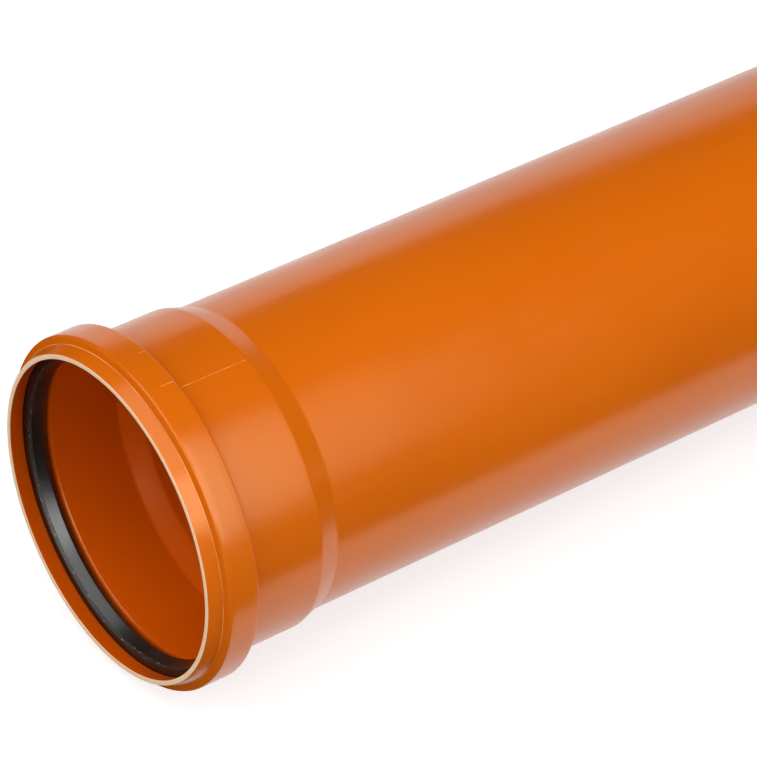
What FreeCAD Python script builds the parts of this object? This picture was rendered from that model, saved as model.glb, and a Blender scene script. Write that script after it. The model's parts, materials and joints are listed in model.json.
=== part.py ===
"""PVC-U sewer pipe, nominal size 160, with a belled ring-seal socket and its rubber lip seal.

The pipe lies on a level floor.  It touches the floor under the bulge of its socket and under its
spigot end, so its axis falls slightly from the socket's mouth to the spigot.

Each section is drawn in the pipe's own half plane: x is the distance from the socket's mouth along
the axis, and r is the distance from the axis.  The finished solids are in the row frame: +X along
the pipe from socket to spigot, +Z up, and the origin on the floor under the middle of the pipe's
box.  Lengths are in millimetres and angles in degrees.
"""
import FreeCAD, Part
import math
import os

# ---- barrel and spigot ----
barrel_od = 160.0              # outside diameter, which is the nominal size
barrel_wall = 4.0              # wall of stiffness class SN4
overall_length = 1080.0        # 1 m laying length plus the depth of the socket
chamfer_length = 9.0           # chamfer round the spigot end
chamfer_angle = 15.0

# ---- socket: radial sizes ----
bore_clearance = 0.3           # gap between the socket's bore and a spigot inside it
socket_wall = 3.3              # belling stretches the wall thinner here
entry_clearance = 2.2          # gap between the mouth and a spigot
mouth_wall = 2.45
collar_flare = 2.75            # outside, the collar widens this much from the mouth to the shoulder
entry_flare = 2.0              # inside, the entry widens this much from the mouth to the groove
groove_depth = 7.9             # from the socket's bore out to the floor of the seal groove
groove_wall = 3.2

# ---- socket: lengths along the axis, in order from the mouth ----
collar_length = 7.0            # short, flared collar ahead of the bulge
shoulder_run = 0.9             # steep front of the bulge
bulge_length = 16.5            # cylinder over the seal groove
bulge_back_lean = 1.2          # lean of the bulge's steep back wall
socket_length = 42.8           # from the bulge's back edge to the taper
taper_run = 11.6               # socket down to barrel, outside
shoulder_wall = 3.2            # the groove's front wall lies this far behind the shoulder
groove_back_run = 2.9          # the bore starts this far ahead of the bulge's back edge
inner_taper_lead = 5.7         # inside, the taper starts this much sooner
inner_taper_run = 11.5

# ---- roundings of the pipe ----
mouth_edge_r = 0.35
shoulder_foot_r = 0.5
shoulder_top_r = 1.8
bulge_back_r = 0.7
bulge_foot_r = 0.8
taper_edge_r = 6.0
entry_edge_r = 2.5             # soft edge where the entry opens into the groove
groove_floor_r = 1.5
bore_edge_r = 1.8              # soft edge where the groove meets the socket's bore

# ---- rubber seal ring ----
seal_gap = 0.25                # play between the ring and the walls of its groove
seal_squeeze = 2.2             # the free lip's crest stands this far inside a spigot's radius
seal_nose_x = 9.4              # the ring's blunt nose lies this far behind the mouth
seal_nose_reach = 1.5          # and stands this far inside the mouth's radius
seal_lip_run = 7.1             # from the nose back to the crest
seal_lip_thickness = 2.2
seal_lip_rise = 1.7            # the lip's blunt tip rises this much behind the crest
seal_nose_r = 0.3
seal_crest_r = 0.6
seal_tip_r = 0.5

# ---- radii and stations that follow from the sizes above ----
barrel_r = barrel_od / 2
barrel_bore_r = barrel_r - barrel_wall
chamfer_end_r = barrel_r - chamfer_length * math.tan(math.radians(chamfer_angle))
chamfer_start = overall_length - chamfer_length
socket_bore_r = barrel_r + bore_clearance
socket_r = socket_bore_r + socket_wall
entry_r = barrel_r + entry_clearance
mouth_r = entry_r + mouth_wall
collar_r = mouth_r + collar_flare
entry_end_r = entry_r + entry_flare
groove_r = socket_bore_r + groove_depth
bulge_r = groove_r + groove_wall

shoulder_end = collar_length + shoulder_run
bulge_end = shoulder_end + bulge_length
taper_start = bulge_end + socket_length
taper_end = taper_start + taper_run
bore_end = taper_start - inner_taper_lead
inner_taper_end = bore_end + inner_taper_run
shoulder_slope = shoulder_run / (bulge_r - collar_r)
groove_corner = collar_length + shoulder_wall - (collar_r - entry_end_r) * shoulder_slope
groove_front = collar_length + shoulder_wall + (groove_r - collar_r) * shoulder_slope
bore_start = bulge_end - groove_back_run
groove_back = bore_start - bulge_back_lean


def rounded_wire(corners):
    """Closed wire through (x, r, rounding radius) corners, with an arc at each rounded one."""
    spots = [FreeCAD.Vector(x, 0, r) for x, r, radius in corners]
    edges = []
    starts = []
    ends = []
    for index, (x, r, radius) in enumerate(corners):
        here = spots[index]
        if radius == 0:
            starts.append(here)
            ends.append(here)
            continue
        back = (spots[index - 1] - here).normalize()
        ahead = (spots[(index + 1) % len(spots)] - here).normalize()
        half = back.getAngle(ahead) / 2
        bisector = (back + ahead).normalize()
        starts.append(here + back * (radius / math.tan(half)))
        ends.append(here + ahead * (radius / math.tan(half)))
        middle = here + bisector * (radius / math.sin(half) - radius)
        edges.append(Part.Arc(starts[-1], middle, ends[-1]).toShape())
    for index in range(len(corners)):
        edges.append(Part.makeLine(ends[index - 1], starts[index]))
    return Part.Wire(Part.__sortEdges__(edges))


def turned(face):
    """Solid made by turning a flat section once round the pipe's axis."""
    return face.revolve(FreeCAD.Vector(0, 0, 0), FreeCAD.Vector(1, 0, 0), 360)


def groove_corners():
    """The inside from the socket's bore out over the seal groove and in to the entry's bore."""
    return [
        (bore_start, socket_bore_r, bore_edge_r),
        (groove_back, groove_r, groove_floor_r),
        (groove_front, groove_r, groove_floor_r),
        (groove_corner, entry_end_r, entry_edge_r),
    ]


def pipe_section():
    """Section of barrel and socket: back along the outside, then forward along the inside."""
    outside = [
        (0, mouth_r, mouth_edge_r),
        (collar_length, collar_r, shoulder_foot_r),
        (shoulder_end, bulge_r, shoulder_top_r),
        (bulge_end, bulge_r, bulge_back_r),
        (bulge_end + bulge_back_lean, socket_r, bulge_foot_r),
        (taper_start, socket_r, taper_edge_r),
        (taper_end, barrel_r, taper_edge_r),
        (chamfer_start, barrel_r, 0),
        (overall_length, chamfer_end_r, 0),
    ]
    inside = [
        (overall_length, barrel_bore_r, 0),
        (inner_taper_end, barrel_bore_r, taper_edge_r),
        (bore_end, socket_bore_r, taper_edge_r),
    ]
    mouth = [(0, entry_r, mouth_edge_r)]
    return Part.Face(rounded_wire(outside + inside + groove_corners() + mouth))


def seal_section():
    """Section of the ring: a heel that fills the groove, and a lip that leans in and back."""
    hollow_end = bore_start + groove_depth
    hollow = [(0, barrel_bore_r, 0), (hollow_end, barrel_bore_r, 0), (hollow_end, socket_bore_r, 0)]
    room = Part.Face(rounded_wire(hollow + groove_corners() + [(0, entry_r, 0)]))
    crest_x = seal_nose_x + seal_lip_run
    crest_r = barrel_r - seal_squeeze
    ring = [
        (seal_nose_x, bulge_r, 0),
        (seal_nose_x, entry_r - seal_nose_reach, seal_nose_r),
        (crest_x, crest_r, seal_crest_r),
        (crest_x + seal_lip_thickness, crest_r + seal_lip_rise, seal_tip_r),
        (groove_back, bulge_r, 0),
    ]
    return room.makeOffset2D(-seal_gap).common(Part.Face(rounded_wire(ring))).Faces[0]


def lying_tilt():
    """Fall of the axis at which the bulge's back edge and the spigot touch one floor."""
    run = chamfer_start - (bulge_end - bulge_back_r)
    rise = (bulge_r - bulge_back_r) - barrel_r
    return math.atan2(rise, run) + math.asin(bulge_back_r / math.hypot(run, rise))


def floor_offset(tilt):
    """Shift that brings the middle of the pipe's box over the origin, and the floor to zero."""
    lean = math.atan2(collar_flare, collar_length)
    edge_centre_r = mouth_r - mouth_edge_r * (1 / math.cos(lean) - math.tan(lean))
    low_x = -edge_centre_r * math.sin(tilt) - mouth_edge_r * (1 - math.cos(tilt))
    high_x = overall_length * math.cos(tilt) + chamfer_end_r * math.sin(tilt)
    low_z = -chamfer_start * math.sin(tilt) - barrel_r * math.cos(tilt)
    return FreeCAD.Vector(-(low_x + high_x) / 2, 0, -low_z)


def laid_down(shape):
    """Bring a solid from the pipe's own frame to where it lies in the row frame."""
    tilt = lying_tilt()
    placed = shape.copy()
    placed.rotate(FreeCAD.Vector(0, 0, 0), FreeCAD.Vector(0, 1, 0), math.degrees(tilt))
    placed.translate(floor_offset(tilt))
    return placed


os.makedirs("parts", exist_ok=True)
sections = {"pipe": pipe_section(), "seal_ring": seal_section()}
for name, section in sections.items():
    solid = laid_down(turned(section))
    solid.exportStep(os.path.join("parts", name + ".step"))
    box = solid.optimalBoundingBox(False)
    print(name, solid.ShapeType, solid.isValid(), round(solid.Volume), "mm3, box",
          [round(v, 2) for v in (box.XMin, box.XMax, box.YMin, box.YMax, box.ZMin, box.ZMax)])
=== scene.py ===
"""Looks of the PVC sewer pipe: its finish, its fine relief, the studio round it and the camera.

Lengths are in metres, and those written in millimetres carry the unit MM.  A place on the pipe is
given as (x, r, turn): x along the pipe's axis from the socket's mouth, r from the axis, and turn
round it, in degrees from the top towards the front, which is the side that the camera sees.
"""
import bpy
import json
import math
from mathutils import Matrix, Vector


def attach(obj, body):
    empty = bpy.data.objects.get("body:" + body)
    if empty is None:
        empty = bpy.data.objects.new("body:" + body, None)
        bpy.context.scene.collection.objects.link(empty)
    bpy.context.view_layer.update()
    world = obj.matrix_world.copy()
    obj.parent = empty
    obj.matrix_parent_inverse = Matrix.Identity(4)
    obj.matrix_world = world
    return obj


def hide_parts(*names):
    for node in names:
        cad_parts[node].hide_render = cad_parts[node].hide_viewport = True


MM = 0.001
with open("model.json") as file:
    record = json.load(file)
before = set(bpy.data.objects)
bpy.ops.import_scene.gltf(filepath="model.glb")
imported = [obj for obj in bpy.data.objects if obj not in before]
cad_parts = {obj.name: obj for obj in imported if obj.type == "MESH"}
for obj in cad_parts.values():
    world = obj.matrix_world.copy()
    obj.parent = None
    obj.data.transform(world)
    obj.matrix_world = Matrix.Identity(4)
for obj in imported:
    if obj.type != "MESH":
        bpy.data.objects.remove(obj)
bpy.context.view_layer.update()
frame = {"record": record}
mounts = {mount["name"]: mount for mount in frame["record"]["mounts"]}

# ---- the pipe's own frame ----
MOUTH = Vector(mounts["socket"]["pos_m"])
ALONG = -Vector(mounts["socket"]["axis"]).normalized()
FRONT = Vector((0, -1, 0))
TOP = FRONT.cross(ALONG).normalized()

# ---- sizes of the pipe, the same as its solid's ----
BARREL_R = mounts["spigot"]["dims"]["r_mm"] * MM
BARREL_BORE_R = mounts["barrel_bore"]["dims"]["r_mm"] * MM
SOCKET_BORE_R = mounts["socket"]["dims"]["r_mm"] * MM
LENGTH = (Vector(mounts["barrel_bore"]["pos_m"]) - MOUTH).length
CHAMFER_START = (Vector(mounts["spigot"]["pos_m"]) - MOUTH).length
CHAMFER_ANGLE = math.radians(15)
CHAMFER_END_R = BARREL_R - (LENGTH - CHAMFER_START) * math.tan(CHAMFER_ANGLE)
SOCKET_R = 83.6 * MM
ENTRY_R = 82.2 * MM
MOUTH_R = 84.65 * MM
COLLAR_R = 87.4 * MM
ENTRY_END_R = 84.2 * MM
GROOVE_R = 88.2 * MM
BULGE_R = 91.4 * MM
COLLAR_END = 7.0 * MM
SHOULDER_END = 7.9 * MM
BULGE_END = 24.4 * MM
BULGE_FOOT = 25.6 * MM
TAPER_START = 67.2 * MM
TAPER_END = 78.8 * MM
BORE_START = 21.5 * MM
BORE_END = 61.5 * MM
INNER_TAPER_END = 73.0 * MM
GROOVE_CORNER = 9.48 * MM
GROOVE_FRONT = 10.38 * MM
GROOVE_BACK = 20.3 * MM
MOUTH_EDGE = 0.35 * MM       # roundings, from here down
SHOULDER_FOOT_EDGE = 0.5 * MM
SHOULDER_TOP_EDGE = 1.8 * MM
BULGE_BACK_EDGE = 0.7 * MM
BULGE_FOOT_EDGE = 0.8 * MM
TAPER_EDGE = 6 * MM
BORE_EDGE = 1.8 * MM
GROOVE_FLOOR_EDGE = 1.5 * MM
ENTRY_EDGE = 2.5 * MM

# ---- sizes of the rubber seal ----
SEAL_GAP = 0.25 * MM         # play between the ring and the walls of its groove
SEAL_NOSE = 9.4 * MM         # its blunt nose lies this far behind the mouth
SEAL_NOSE_R = ENTRY_R - 1.5 * MM
SEAL_CREST = SEAL_NOSE + 7.1 * MM
SEAL_CREST_R = BARREL_R - 2.2 * MM
SEAL_TIP = SEAL_CREST + 2.2 * MM
SEAL_TIP_R = SEAL_CREST_R + 1.7 * MM

# ---- meshes ----
SEGMENTS = 320               # columns of faces round the pipe
FINE_COLUMNS = (-0.45, -0.26, -0.13, 0, 0.13, 0.26, 0.45)    # degrees from a thin line
FINE_ROOM = 0.35             # degrees from a thin line that are kept clear of even columns
LONG_RUN = 0.1               # a straight run longer than this gets rows 8 times as far apart
PARTING_TURN = 16.3          # the mould's parting line on the socket
PARTING_RUNS = [(15.8, 17.6), (18.4, 21.4), (26.6, 66.2)]    # from and to, in mm behind the mouth
RIDGE_HALF = 0.3             # half its width, in degrees
RIDGE_HEIGHT = 0.12 * MM
FOOT_HIGHLIGHT = (COLLAR_END - 0.3 * MM, COLLAR_END + 0.03 * MM)  # painted highlight along the shoulder's foot
SCRATCHES = [                # turn, and from and to, in mm behind the mouth
    (1.3, 18.2, 23.0),
    (50.5, 20.5, 23.6),
    (62.0, 20.2, 22.8),
    (78.5, 25.4, 26.8),
]
PVC, BORE, CUT, WORN_AND_HIGHLIGHT = 0, 1, 2, 3    # material slots of the pipe
RUBBER, DUST_AND_HIGHLIGHT = 0, 1                 # material slots of the seal


def place(x, r, turn):
    """The point (x, r, turn) in the row frame."""
    angle = math.radians(turn)
    return MOUTH + ALONG * x + (TOP * math.cos(angle) + FRONT * math.sin(angle)) * r


# ---------------------------------------------------------------- turned meshes
def arc_points(here, before, after, radius, steps):
    """Points along the rounding of one corner of an outline."""
    back = (before - here).normalized()
    ahead = (after - here).normalized()
    half = back.angle(ahead) / 2
    centre = here + (back + ahead).normalized() * (radius / math.sin(half))
    first = here + back * (radius / math.tan(half)) - centre
    last = here + ahead * (radius / math.tan(half)) - centre
    turn = first.angle_signed(last)
    return [centre + Matrix.Rotation(-turn * step / steps, 2) @ first for step in range(steps + 1)]


def sampled(corners, arc_steps, pitch):
    """Stations (x, r, slot, sharp) along an outline of (x, r, rounding, slot after it) corners."""
    stations = []
    for index, (x, r, radius, slot) in enumerate(corners):
        here = Vector((x, r))
        before = Vector(corners[index - 1][:2])
        after = Vector(corners[(index + 1) % len(corners)][:2])
        arc = arc_points(here, before, after, radius, arc_steps) if radius else [here]
        arc_slot = max(corners[index - 1][3], slot)
        for point in arc[:-1]:
            stations.append((point, arc_slot, False))
        stations.append((arc[-1], slot, radius == 0))
    spread = []
    for index, (point, slot, sharp) in enumerate(stations):
        ahead = stations[(index + 1) % len(stations)][0]
        gap = (ahead - point).length
        parts = max(1, math.ceil(gap / (pitch if gap < LONG_RUN else pitch * 8)))
        spread.append((point.x, point.y, slot, sharp))
        for part in range(1, parts):
            middle = point.lerp(ahead, part / parts)
            spread.append((middle.x, middle.y, slot, False))
    return spread


def add_surface_uv(mesh, stations, turns):
    """UV in metres: u runs along the outline, and v runs round the pipe at the barrel's radius."""
    rows, columns = len(stations), len(turns)
    runs = [0.0]
    for row in range(rows):
        x, r = stations[row][:2]
        next_x, next_r = stations[(row + 1) % rows][:2]
        runs.append(runs[-1] + math.hypot(next_x - x, next_r - r))
    layer = mesh.uv_layers.new(name="surface")
    for index in range(rows * columns):
        row, column = divmod(index, columns)
        this_turn = turns[column]
        next_turn = turns[(column + 1) % columns] + (360 if column == columns - 1 else 0)
        corners = [(row, this_turn), (row, next_turn), (row + 1, next_turn), (row + 1, this_turn)]
        for corner, (station, turn) in enumerate(corners):
            layer.data[index * 4 + corner].uv = (runs[station], math.radians(turn) * BARREL_R)


def mark_sharp_rows(mesh, stations, columns):
    """Mark the edges that run round the pipe at an unrounded corner as sharp."""
    sharp_rows = {row for row, station in enumerate(stations) if station[3]}
    sharp_edges = mesh.attributes.new("sharp_edge", "BOOLEAN", "EDGE")
    for edge in mesh.edges:
        first, second = (vertex // columns for vertex in edge.vertices)
        sharp_edges.data[edge.index].value = first == second and first in sharp_rows


def turned(name, stations, turns, relief, slot_of):
    """A closed mesh: the stations turned round the axis, at the given turns, moved out by relief."""
    rows, columns = len(stations), len(turns)
    points = []
    for x, r, slot, sharp in stations:
        for turn in turns:
            points.append(place(x, r + relief(x, r, turn), turn))
    faces, slots = [], []
    for row in range(rows):
        here = row * columns
        ahead = (row + 1) % rows * columns
        for column in range(columns):
            beside = (column + 1) % columns
            faces.append((here + column, here + beside, ahead + beside, ahead + column))
            slots.append(slot_of(stations[row], turns[column]))
    mesh = bpy.data.meshes.new(name)
    mesh.from_pydata(points, [], faces)
    mesh.polygons.foreach_set("material_index", slots)
    mesh.polygons.foreach_set("use_smooth", [True] * len(faces))
    add_surface_uv(mesh, stations, turns)
    mark_sharp_rows(mesh, stations, columns)
    mesh.validate()
    piece = bpy.data.objects.new(name, mesh)
    bpy.context.scene.collection.objects.link(piece)
    return piece


def column_turns(extra):
    """Even turns from the underside round, with a few close columns at each turn in extra."""
    even = [-180 + 360 * index / SEGMENTS for index in range(SEGMENTS)]
    fine = []
    for centre in extra:
        for offset in FINE_COLUMNS:
            fine.append(centre + offset)
    kept = [turn for turn in even if all(abs(turn - other) > FINE_ROOM for other in extra)]
    return sorted(kept + fine)


# ---------------------------------------------------------------- materials
class Nodes:
    """Short calls for building one node material."""

    def __init__(self, name):
        self.material = bpy.data.materials.new(name)
        self.material.use_nodes = True
        self.tree = self.material.node_tree
        self.shader = self.tree.nodes["Principled BSDF"]

    def node(self, kind, **settings):
        made = self.tree.nodes.new(kind)
        for key, value in settings.items():
            setattr(made, key, value)
        return made

    def link(self, source, target):
        self.tree.links.new(source, target)

    def surface(self, scale):
        """UV position in metres, stretched by scale."""
        uv = self.node("ShaderNodeUVMap", uv_map="surface")
        mapping = self.node("ShaderNodeMapping")
        mapping.inputs["Scale"].default_value = scale
        self.link(uv.outputs["UV"], mapping.inputs["Vector"])
        return mapping.outputs["Vector"]

    def noise(self, vector, scale, detail=3.0, roughness=0.5):
        made = self.node("ShaderNodeTexNoise")
        made.inputs["Scale"].default_value = scale
        made.inputs["Detail"].default_value = detail
        made.inputs["Roughness"].default_value = roughness
        self.link(vector, made.inputs["Vector"])
        return made.outputs["Fac"]

    def ramp(self, value, low, high, out_low=0.0, out_high=1.0):
        made = self.node("ShaderNodeMapRange")
        made.inputs["From Min"].default_value = low
        made.inputs["From Max"].default_value = high
        made.inputs["To Min"].default_value = out_low
        made.inputs["To Max"].default_value = out_high
        self.link(value, made.inputs["Value"])
        return made.outputs["Result"]

    def mix(self, factor, first, second):
        made = self.node("ShaderNodeMix", data_type="RGBA")
        made.inputs["A"].default_value = (*first, 1)
        made.inputs["B"].default_value = (*second, 1)
        self.link(factor, made.inputs["Factor"])
        return made.outputs["Result"]

    def bump(self, height, strength, distance, normal=None):
        made = self.node("ShaderNodeBump")
        made.inputs["Strength"].default_value = strength
        made.inputs["Distance"].default_value = distance
        self.link(height, made.inputs["Height"])
        if normal is not None:
            self.link(normal, made.inputs["Normal"])
        return made.outputs["Normal"]


def pvc_material(name, darker, lighter):
    """Extruded PVC-U, orange-brown, with faint die lines along the axis and a slight grain."""
    nodes = Nodes(name)
    broad = nodes.noise(nodes.surface((9, 14, 1)), 1.0)
    colour = nodes.mix(nodes.ramp(broad, 0.3, 0.7), darker, lighter)
    nodes.link(colour, nodes.shader.inputs["Base Color"])
    patches = nodes.noise(nodes.surface((30, 90, 1)), 1.0, 4.0)
    nodes.link(nodes.ramp(patches, 0.3, 0.7, 0.20, 0.26), nodes.shader.inputs["Roughness"])
    die_lines = nodes.noise(nodes.surface((5, 420, 1)), 1.0, 3.0, 0.6)
    peel = nodes.noise(nodes.surface((420, 520, 1)), 1.0, 2.0)
    normal = nodes.bump(die_lines, 0.5, 0.00012)
    normal = nodes.bump(peel, 0.5, 0.00006, normal)
    nodes.link(normal, nodes.shader.inputs["Normal"])
    nodes.shader.inputs["IOR"].default_value = 1.54
    nodes.shader.inputs["Specular Tint"].default_value = (1.0, 0.95, 0.6, 1)
    return nodes.material


def cut_material():
    """The sawn and chamfered ends: the same plastic, roughened, so it looks pale and dry."""
    nodes = Nodes("pvc_cut")
    strokes = nodes.noise(nodes.surface((2500, 120, 1)), 1.0, 3.0)
    colour = nodes.mix(nodes.ramp(strokes, 0.35, 0.7), (0.93, 0.60, 0.34), (0.97, 0.74, 0.51))
    nodes.link(colour, nodes.shader.inputs["Base Color"])
    nodes.shader.inputs["Roughness"].default_value = 0.7
    nodes.link(nodes.bump(strokes, 0.4, 0.00015), nodes.shader.inputs["Normal"])
    return nodes.material


def worn_and_highlight_material():
    """Scraped places, a little paler than the skin, on the parting line and scratches; along the
    shoulder's foot the same colour is a painted highlight.
    """
    nodes = Nodes("pvc_worn_and_painted_highlight")
    broken = nodes.noise(nodes.surface((160, 40, 1)), 1.0, 3.0, 0.6)
    colour = nodes.mix(nodes.ramp(broken, 0.42, 0.62), (0.72, 0.17, 0.01), (0.95, 0.40, 0.09))
    nodes.link(colour, nodes.shader.inputs["Base Color"])
    nodes.shader.inputs["Roughness"].default_value = 0.4
    return nodes.material


def rubber_material():
    """Moulded black rubber with a light grey bloom."""
    nodes = Nodes("rubber")
    bloom = nodes.noise(nodes.surface((70, 60, 1)), 1.0, 4.0, 0.6)
    colour = nodes.mix(nodes.ramp(bloom, 0.35, 0.75), (0.005, 0.004, 0.0035), (0.015, 0.0125, 0.011))
    nodes.link(colour, nodes.shader.inputs["Base Color"])
    grain = nodes.noise(nodes.surface((1500, 1500, 1)), 1.0, 2.0)
    nodes.link(nodes.ramp(bloom, 0.3, 0.7, 0.27, 0.35), nodes.shader.inputs["Roughness"])
    nodes.shader.inputs["Specular IOR Level"].default_value = 0.9
    nodes.link(nodes.bump(grain, 0.3, 0.0001), nodes.shader.inputs["Normal"])
    return nodes.material


def dust_and_highlight_material():
    """The seal's front ridge: lighter rubber with pale crumbs, partly dust and partly a painted
    highlight along the ridge.
    """
    nodes = Nodes("rubber_dust_and_painted_highlight")
    crumbs = nodes.noise(nodes.surface((900, 260, 1)), 1.0, 3.0, 0.7)
    colour = nodes.mix(nodes.ramp(crumbs, 0.60, 0.72), (0.03, 0.026, 0.023), (0.45, 0.40, 0.34))
    nodes.link(colour, nodes.shader.inputs["Base Color"])
    nodes.shader.inputs["Roughness"].default_value = 0.45
    return nodes.material


# ---------------------------------------------------------------- pieces
def on_thin_line(turn, centre):
    """Whether the column of faces that starts at this turn is one of the two next to the line."""
    return -0.14 < turn - centre < 0.12


def on_parting_line(x, r):
    """Where the mould's parting line shows: in two stretches on the bulge, and along the socket."""
    outside = r > SOCKET_R - 0.5 * MM
    return outside and any(first * MM < x < last * MM for first, last in PARTING_RUNS)


def pipe_relief(x, r, turn):
    """Fine relief of the outside, in metres: the ridge of the mould parting line."""
    off = abs(turn - PARTING_TURN) / RIDGE_HALF
    if off > 1 or not on_parting_line(x, r):
        return 0.0
    return RIDGE_HEIGHT * (1 - off ** 2)


def pipe_slot(station, turn):
    """Material of the face behind a station: worn parting line and scratches, painted highlight at
    the foot.
    """
    x, r, slot, sharp = station
    if on_thin_line(turn, PARTING_TURN) and on_parting_line(x, r):
        return WORN_AND_HIGHLIGHT
    # The pale band along the shoulder's foot is a painted highlight, where the fillet catches the
    # light.
    if FOOT_HIGHLIGHT[0] < x < FOOT_HIGHLIGHT[1] and r > COLLAR_R - 0.2 * MM:
        return WORN_AND_HIGHLIGHT
    for centre, first, last in SCRATCHES:
        if on_thin_line(turn, centre) and first * MM < x < last * MM and r > SOCKET_R:
            return WORN_AND_HIGHLIGHT
    return slot


def pipe_piece():
    """Barrel and socket: back along the outside, then forward along the inside."""
    corners = [
        (0, MOUTH_R, MOUTH_EDGE, PVC),
        (COLLAR_END, COLLAR_R, SHOULDER_FOOT_EDGE, PVC),
        (SHOULDER_END, BULGE_R, SHOULDER_TOP_EDGE, PVC),
        (BULGE_END, BULGE_R, BULGE_BACK_EDGE, PVC),
        (BULGE_FOOT, SOCKET_R, BULGE_FOOT_EDGE, PVC),
        (TAPER_START, SOCKET_R, TAPER_EDGE, PVC),
        (TAPER_END, BARREL_R, TAPER_EDGE, PVC),
        (CHAMFER_START, BARREL_R, 0, CUT),
        (LENGTH, CHAMFER_END_R, 0, CUT),
        (LENGTH, BARREL_BORE_R, 0, BORE),
        (INNER_TAPER_END, BARREL_BORE_R, TAPER_EDGE, BORE),
        (BORE_END, SOCKET_BORE_R, TAPER_EDGE, BORE),
        (BORE_START, SOCKET_BORE_R, BORE_EDGE, BORE),
        (GROOVE_BACK, GROOVE_R, GROOVE_FLOOR_EDGE, BORE),
        (GROOVE_FRONT, GROOVE_R, GROOVE_FLOOR_EDGE, BORE),
        (GROOVE_CORNER, ENTRY_END_R, ENTRY_EDGE, BORE),
        (0, ENTRY_R, MOUTH_EDGE, CUT),
    ]
    stations = sampled(corners, 7, 4 * MM)
    turns = column_turns([PARTING_TURN] + [scratch[0] for scratch in SCRATCHES])
    piece = turned("pipe_body", stations, turns, pipe_relief, pipe_slot)
    skin = pvc_material("pvc", (0.685, 0.131, 0.0008), (0.720, 0.143, 0.0012))
    # The bore gets a copy of the same plastic, painted redder than the skin: painted light standing
    # in for the red light that bounces round inside the tube.
    bore = pvc_material("pvc_bore_painted_light", (0.72, 0.104, 0.0006), (0.76, 0.113, 0.0008))
    for material in (skin, bore, cut_material(), worn_and_highlight_material()):
        piece.data.materials.append(material)
    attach(piece, "root")
    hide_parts("pipe")


def seal_slot(station, turn):
    """Material of the seal's face behind a station: its front ridge carries dust and a painted
    highlight.
    """
    x, r, slot, sharp = station
    # The pale crumbs along the front ridge are partly dust and partly a painted highlight line.
    on_ridge = 0.05 * MM < x - SEAL_NOSE < 0.45 * MM and r < SEAL_NOSE_R + 0.3 * MM
    return DUST_AND_HIGHLIGHT if on_ridge else RUBBER


def no_relief(x, r, turn):
    """The seal is smooth."""
    return 0.0


def seal_piece():
    """The rubber ring: its lip, its tip, and its heel in the groove."""
    corners = [
        (SEAL_NOSE, SEAL_NOSE_R, 0.3 * MM, RUBBER),
        (SEAL_CREST, SEAL_CREST_R, 0.6 * MM, RUBBER),
        (SEAL_TIP, SEAL_TIP_R, 0.5 * MM, RUBBER),
        (GROOVE_BACK - 2 * SEAL_GAP, GROOVE_R - SEAL_GAP, 0.6 * MM, RUBBER),
        (GROOVE_FRONT + 2 * SEAL_GAP, GROOVE_R - SEAL_GAP, 1.2 * MM, RUBBER),
        (SEAL_NOSE, ENTRY_END_R + 0.2 * MM, 0.1 * MM, RUBBER),
    ]
    stations = sampled(corners, 5, 2 * MM)
    piece = turned("seal_ring_body", stations, column_turns([]), no_relief, seal_slot)
    piece.data.materials.append(rubber_material())
    piece.data.materials.append(dust_and_highlight_material())
    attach(piece, "root")
    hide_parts("seal_ring")


# ---------------------------------------------------------------- studio
def white_to_camera(tree):
    """A value that is 1 for rays from the camera or the gloss, and 0 for light on the pipe."""
    path = tree.nodes.new("ShaderNodeLightPath")
    value = path.outputs["Is Camera Ray"]
    for name in ("Is Glossy Ray", "Is Transmission Ray"):
        either = tree.nodes.new("ShaderNodeMath")
        either.operation = "MAXIMUM"
        tree.links.new(value, either.inputs[0])
        tree.links.new(path.outputs[name], either.inputs[1])
        value = either.outputs[0]
    return value


def floor_material():
    """Matt floor: pale grey for bounced light, near white with its shadow for camera and gloss."""
    nodes = Nodes("floor_white")
    nodes.shader.inputs["Base Color"].default_value = (0.38, 0.38, 0.38, 1)
    nodes.shader.inputs["Roughness"].default_value = 1.0
    nodes.shader.inputs["Specular IOR Level"].default_value = 0.0
    shaded = nodes.node("ShaderNodeBsdfDiffuse")
    shaded.inputs["Color"].default_value = (0.45, 0.45, 0.45, 1)
    glow = nodes.node("ShaderNodeEmission")
    glow.inputs["Strength"].default_value = 0.73
    white = nodes.node("ShaderNodeAddShader")
    nodes.link(shaded.outputs["BSDF"], white.inputs[0])
    nodes.link(glow.outputs["Emission"], white.inputs[1])
    blend = nodes.node("ShaderNodeMixShader")
    nodes.link(white_to_camera(nodes.tree), blend.inputs["Fac"])
    nodes.link(nodes.shader.outputs["BSDF"], blend.inputs[1])
    nodes.link(white.outputs["Shader"], blend.inputs[2])
    nodes.link(blend.outputs["Shader"], nodes.tree.nodes["Material Output"].inputs["Surface"])
    return nodes.material


def card_material():
    """Black without any gloss."""
    nodes = Nodes("card_black")
    nodes.shader.inputs["Base Color"].default_value = (0, 0, 0, 1)
    nodes.shader.inputs["Specular IOR Level"].default_value = 0.0
    return nodes.material


def floor_piece():
    """A plain level floor, 12 m across."""
    half = 6.0
    mesh = bpy.data.meshes.new("floor")
    mesh.from_pydata([(-half, -half, 0), (half, -half, 0), (half, half, 0), (-half, half, 0)], [],
                     [(0, 1, 2, 3)])
    floor = bpy.data.objects.new("floor", mesh)
    bpy.context.scene.collection.objects.link(floor)
    floor.data.materials.append(floor_material())


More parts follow.
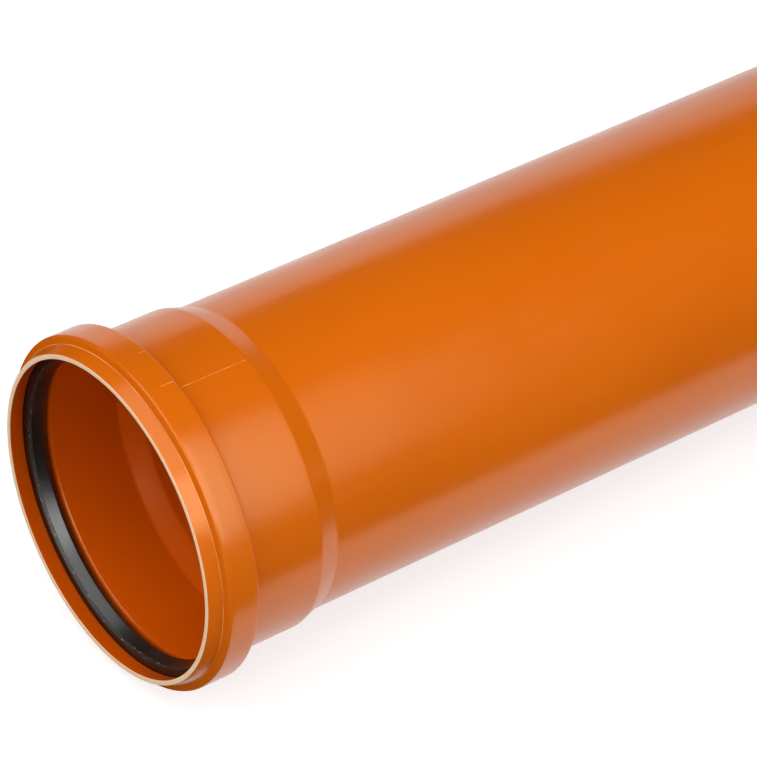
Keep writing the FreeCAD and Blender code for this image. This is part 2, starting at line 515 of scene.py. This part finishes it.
def black_sheet(name, points, faces, black):
    """A black card of the studio, seen in the gloss only."""
    mesh = bpy.data.meshes.new(name)
    mesh.from_pydata(points, [], faces)
    sheet = bpy.data.objects.new(name, mesh)
    bpy.context.scene.collection.objects.link(sheet)
    sheet.data.materials.append(black)
    sheet.visible_camera = False
    sheet.visible_diffuse = False
    sheet.visible_shadow = False
    sheet.visible_transmission = False
    sheet.visible_volume_scatter = False


def arch_card(black, radius, edges, last):
    """A curved card over the pipe, from each edge's (x, first angle) round to the last angle."""
    steps = 24
    centre_z = 0.09              # about the height of the pipe's axis
    points = []
    for x, first in edges:
        for step in range(steps + 1):
            angle = math.radians(first + (last - first) * step / steps)
            points.append((x, -radius * math.sin(angle), centre_z + radius * math.cos(angle)))
    faces = []
    for strip in range(len(edges) - 1):
        base = strip * (steps + 1)
        for i in range(base, base + steps):
            faces.append((i, i + 1, i + steps + 2, i + steps + 1))
    black_sheet("arch_card", points, faces, black)


def standing_card(name, x, first_y, last_y, low, high, black):
    """An upright card across the pipe's length."""
    points = [(x, first_y, low), (x, last_y, low), (x, last_y, high), (x, first_y, high)]
    black_sheet(name, points, [(0, 1, 2, 3)], black)


def lying_card(name, outline, height, black):
    """A card that lies just over the floor."""
    points = [(x, y, height) for x, y in outline]
    black_sheet(name, points, [tuple(range(len(points)))], black)


def flat_cards(black):
    """Flat cards: beyond both ends, behind the spigot, and low in front of the pipe and its mouth."""
    wide = 2.6
    standing_card("mouth_card", -2.4, -wide, wide, 0.02, wide, black)
    standing_card("end_card", 3.4, -wide, 1.2, 0.3, wide, black)
    standing_card("spigot_card", 0.62, -0.12, 0.12, 0.004, 0.2, black)
    front = [(-0.49, -0.17), (3.5, -0.17), (3.5, -wide), (-0.49, -wide)]
    lying_card("front_card", front, 0.002, black)
    edge = [(-0.48, -0.17), (-0.53, -0.07), (-0.53, 0.1), (-0.4, 0.4), (-0.2, 0.9), (0.2, 2.3)]
    before_mouth = [(-wide, -wide), (-0.49, -wide)] + edge + [(-wide, 2.3)]
    lying_card("low_mouth_card", before_mouth, 0.003, black)


def softbox(name, turn, lean, distance, width, height, radiance):
    """An area lamp that faces the socket from the given turn, leaning towards the mouth's side."""
    angle = math.radians(turn)
    tilt = math.radians(lean)
    level = Vector((0, -math.sin(angle), math.cos(angle)))
    outward = level * math.cos(tilt) - Vector((1, 0, 0)) * math.sin(tilt)
    light = bpy.data.lights.new(name, "AREA")
    light.shape = "RECTANGLE"
    light.size = width
    light.size_y = height
    light.energy = radiance * math.pi * width * height
    lamp = bpy.data.objects.new(name, light)
    upright = outward.cross(Vector((1, 0, 0))).normalized()
    across = upright.cross(outward)
    lamp.matrix_world = Matrix((across, upright, outward)).transposed().to_4x4()
    lamp.location = place(50 * MM, 0, 0) + outward * distance
    lamp.visible_camera = False
    bpy.context.scene.collection.objects.link(lamp)
    return lamp


def lamps():
    """The studio's lamps: one over the mouth, three at the side for the gloss, and two soft fills."""
    softbox("key", 4, 25, 1.8, 1.4, 2.1, 1.9)
    softbox("side_light", 55, -17, 1.0, 0.16, 1.1, 5.5)
    softbox("side_edge", 55, -26, 1.0, 0.18, 1.1, 1.4)
    collar_light = softbox("collar_light", 57, 20, 1.0, 1.0, 0.58, 4.4)
    collar_light.visible_diffuse = False
    for name, turn, lean, radiance in (("front_fill", 78, 0, 0.5), ("mouth_fill", 20, 64, 1.5)):
        fill = softbox(name, turn, lean, 1.8, 1.6, 1.4, radiance)
        fill.visible_glossy = False


def world_light(level):
    """Even light of the given level, and plain white where the camera or the gloss sees it."""
    world = bpy.data.worlds.new("studio")
    world.use_nodes = True
    tree = world.node_tree
    background = tree.nodes["Background"]
    background.inputs["Color"].default_value = (1, 1, 1, 1)
    strength = tree.nodes.new("ShaderNodeMapRange")
    strength.inputs["To Min"].default_value = level
    strength.inputs["To Max"].default_value = 1.0
    tree.links.new(white_to_camera(tree), strength.inputs["Value"])
    tree.links.new(strength.outputs["Result"], background.inputs["Strength"])
    bpy.context.scene.world = world


def camera_view():
    """The camera looks down on the socket's mouth from the front, with a long lens and no roll."""
    azimuth = math.radians(-36.98)
    elevation = math.radians(36.65)
    right = Vector((math.cos(azimuth), math.sin(azimuth), 0))
    level = Vector((-math.sin(azimuth), math.cos(azimuth), 0))
    ahead = level * math.cos(elevation) - Vector((0, 0, 1)) * math.sin(elevation)
    down = ahead.cross(right)
    mouth_in_view = right * -1.6295 + down * 0.8494 + ahead * 28.0525    # in barrel radii
    data = bpy.data.cameras.new("camera")
    data.sensor_width = 36
    data.lens = 223.87
    data.clip_end = 50
    camera = bpy.data.objects.new("camera", data)
    camera.location = MOUTH - mouth_in_view * BARREL_R
    camera.rotation_euler = (-ahead).to_track_quat("Z", "Y").to_euler()
    bpy.context.scene.collection.objects.link(camera)
    bpy.context.scene.camera = camera


pipe_piece()
seal_piece()
floor_piece()
black_card = card_material()
arch_edges = [(-2.4, -92), (0.2, -90), (0.4, -62), (1.2, -61), (1.5, -50), (3.4, -45)]
arch_card(black_card, 2.4, arch_edges, 92)
flat_cards(black_card)
lamps()
world_light(0.30)
camera_view()
bpy.context.scene.view_settings.view_transform = "Standard"
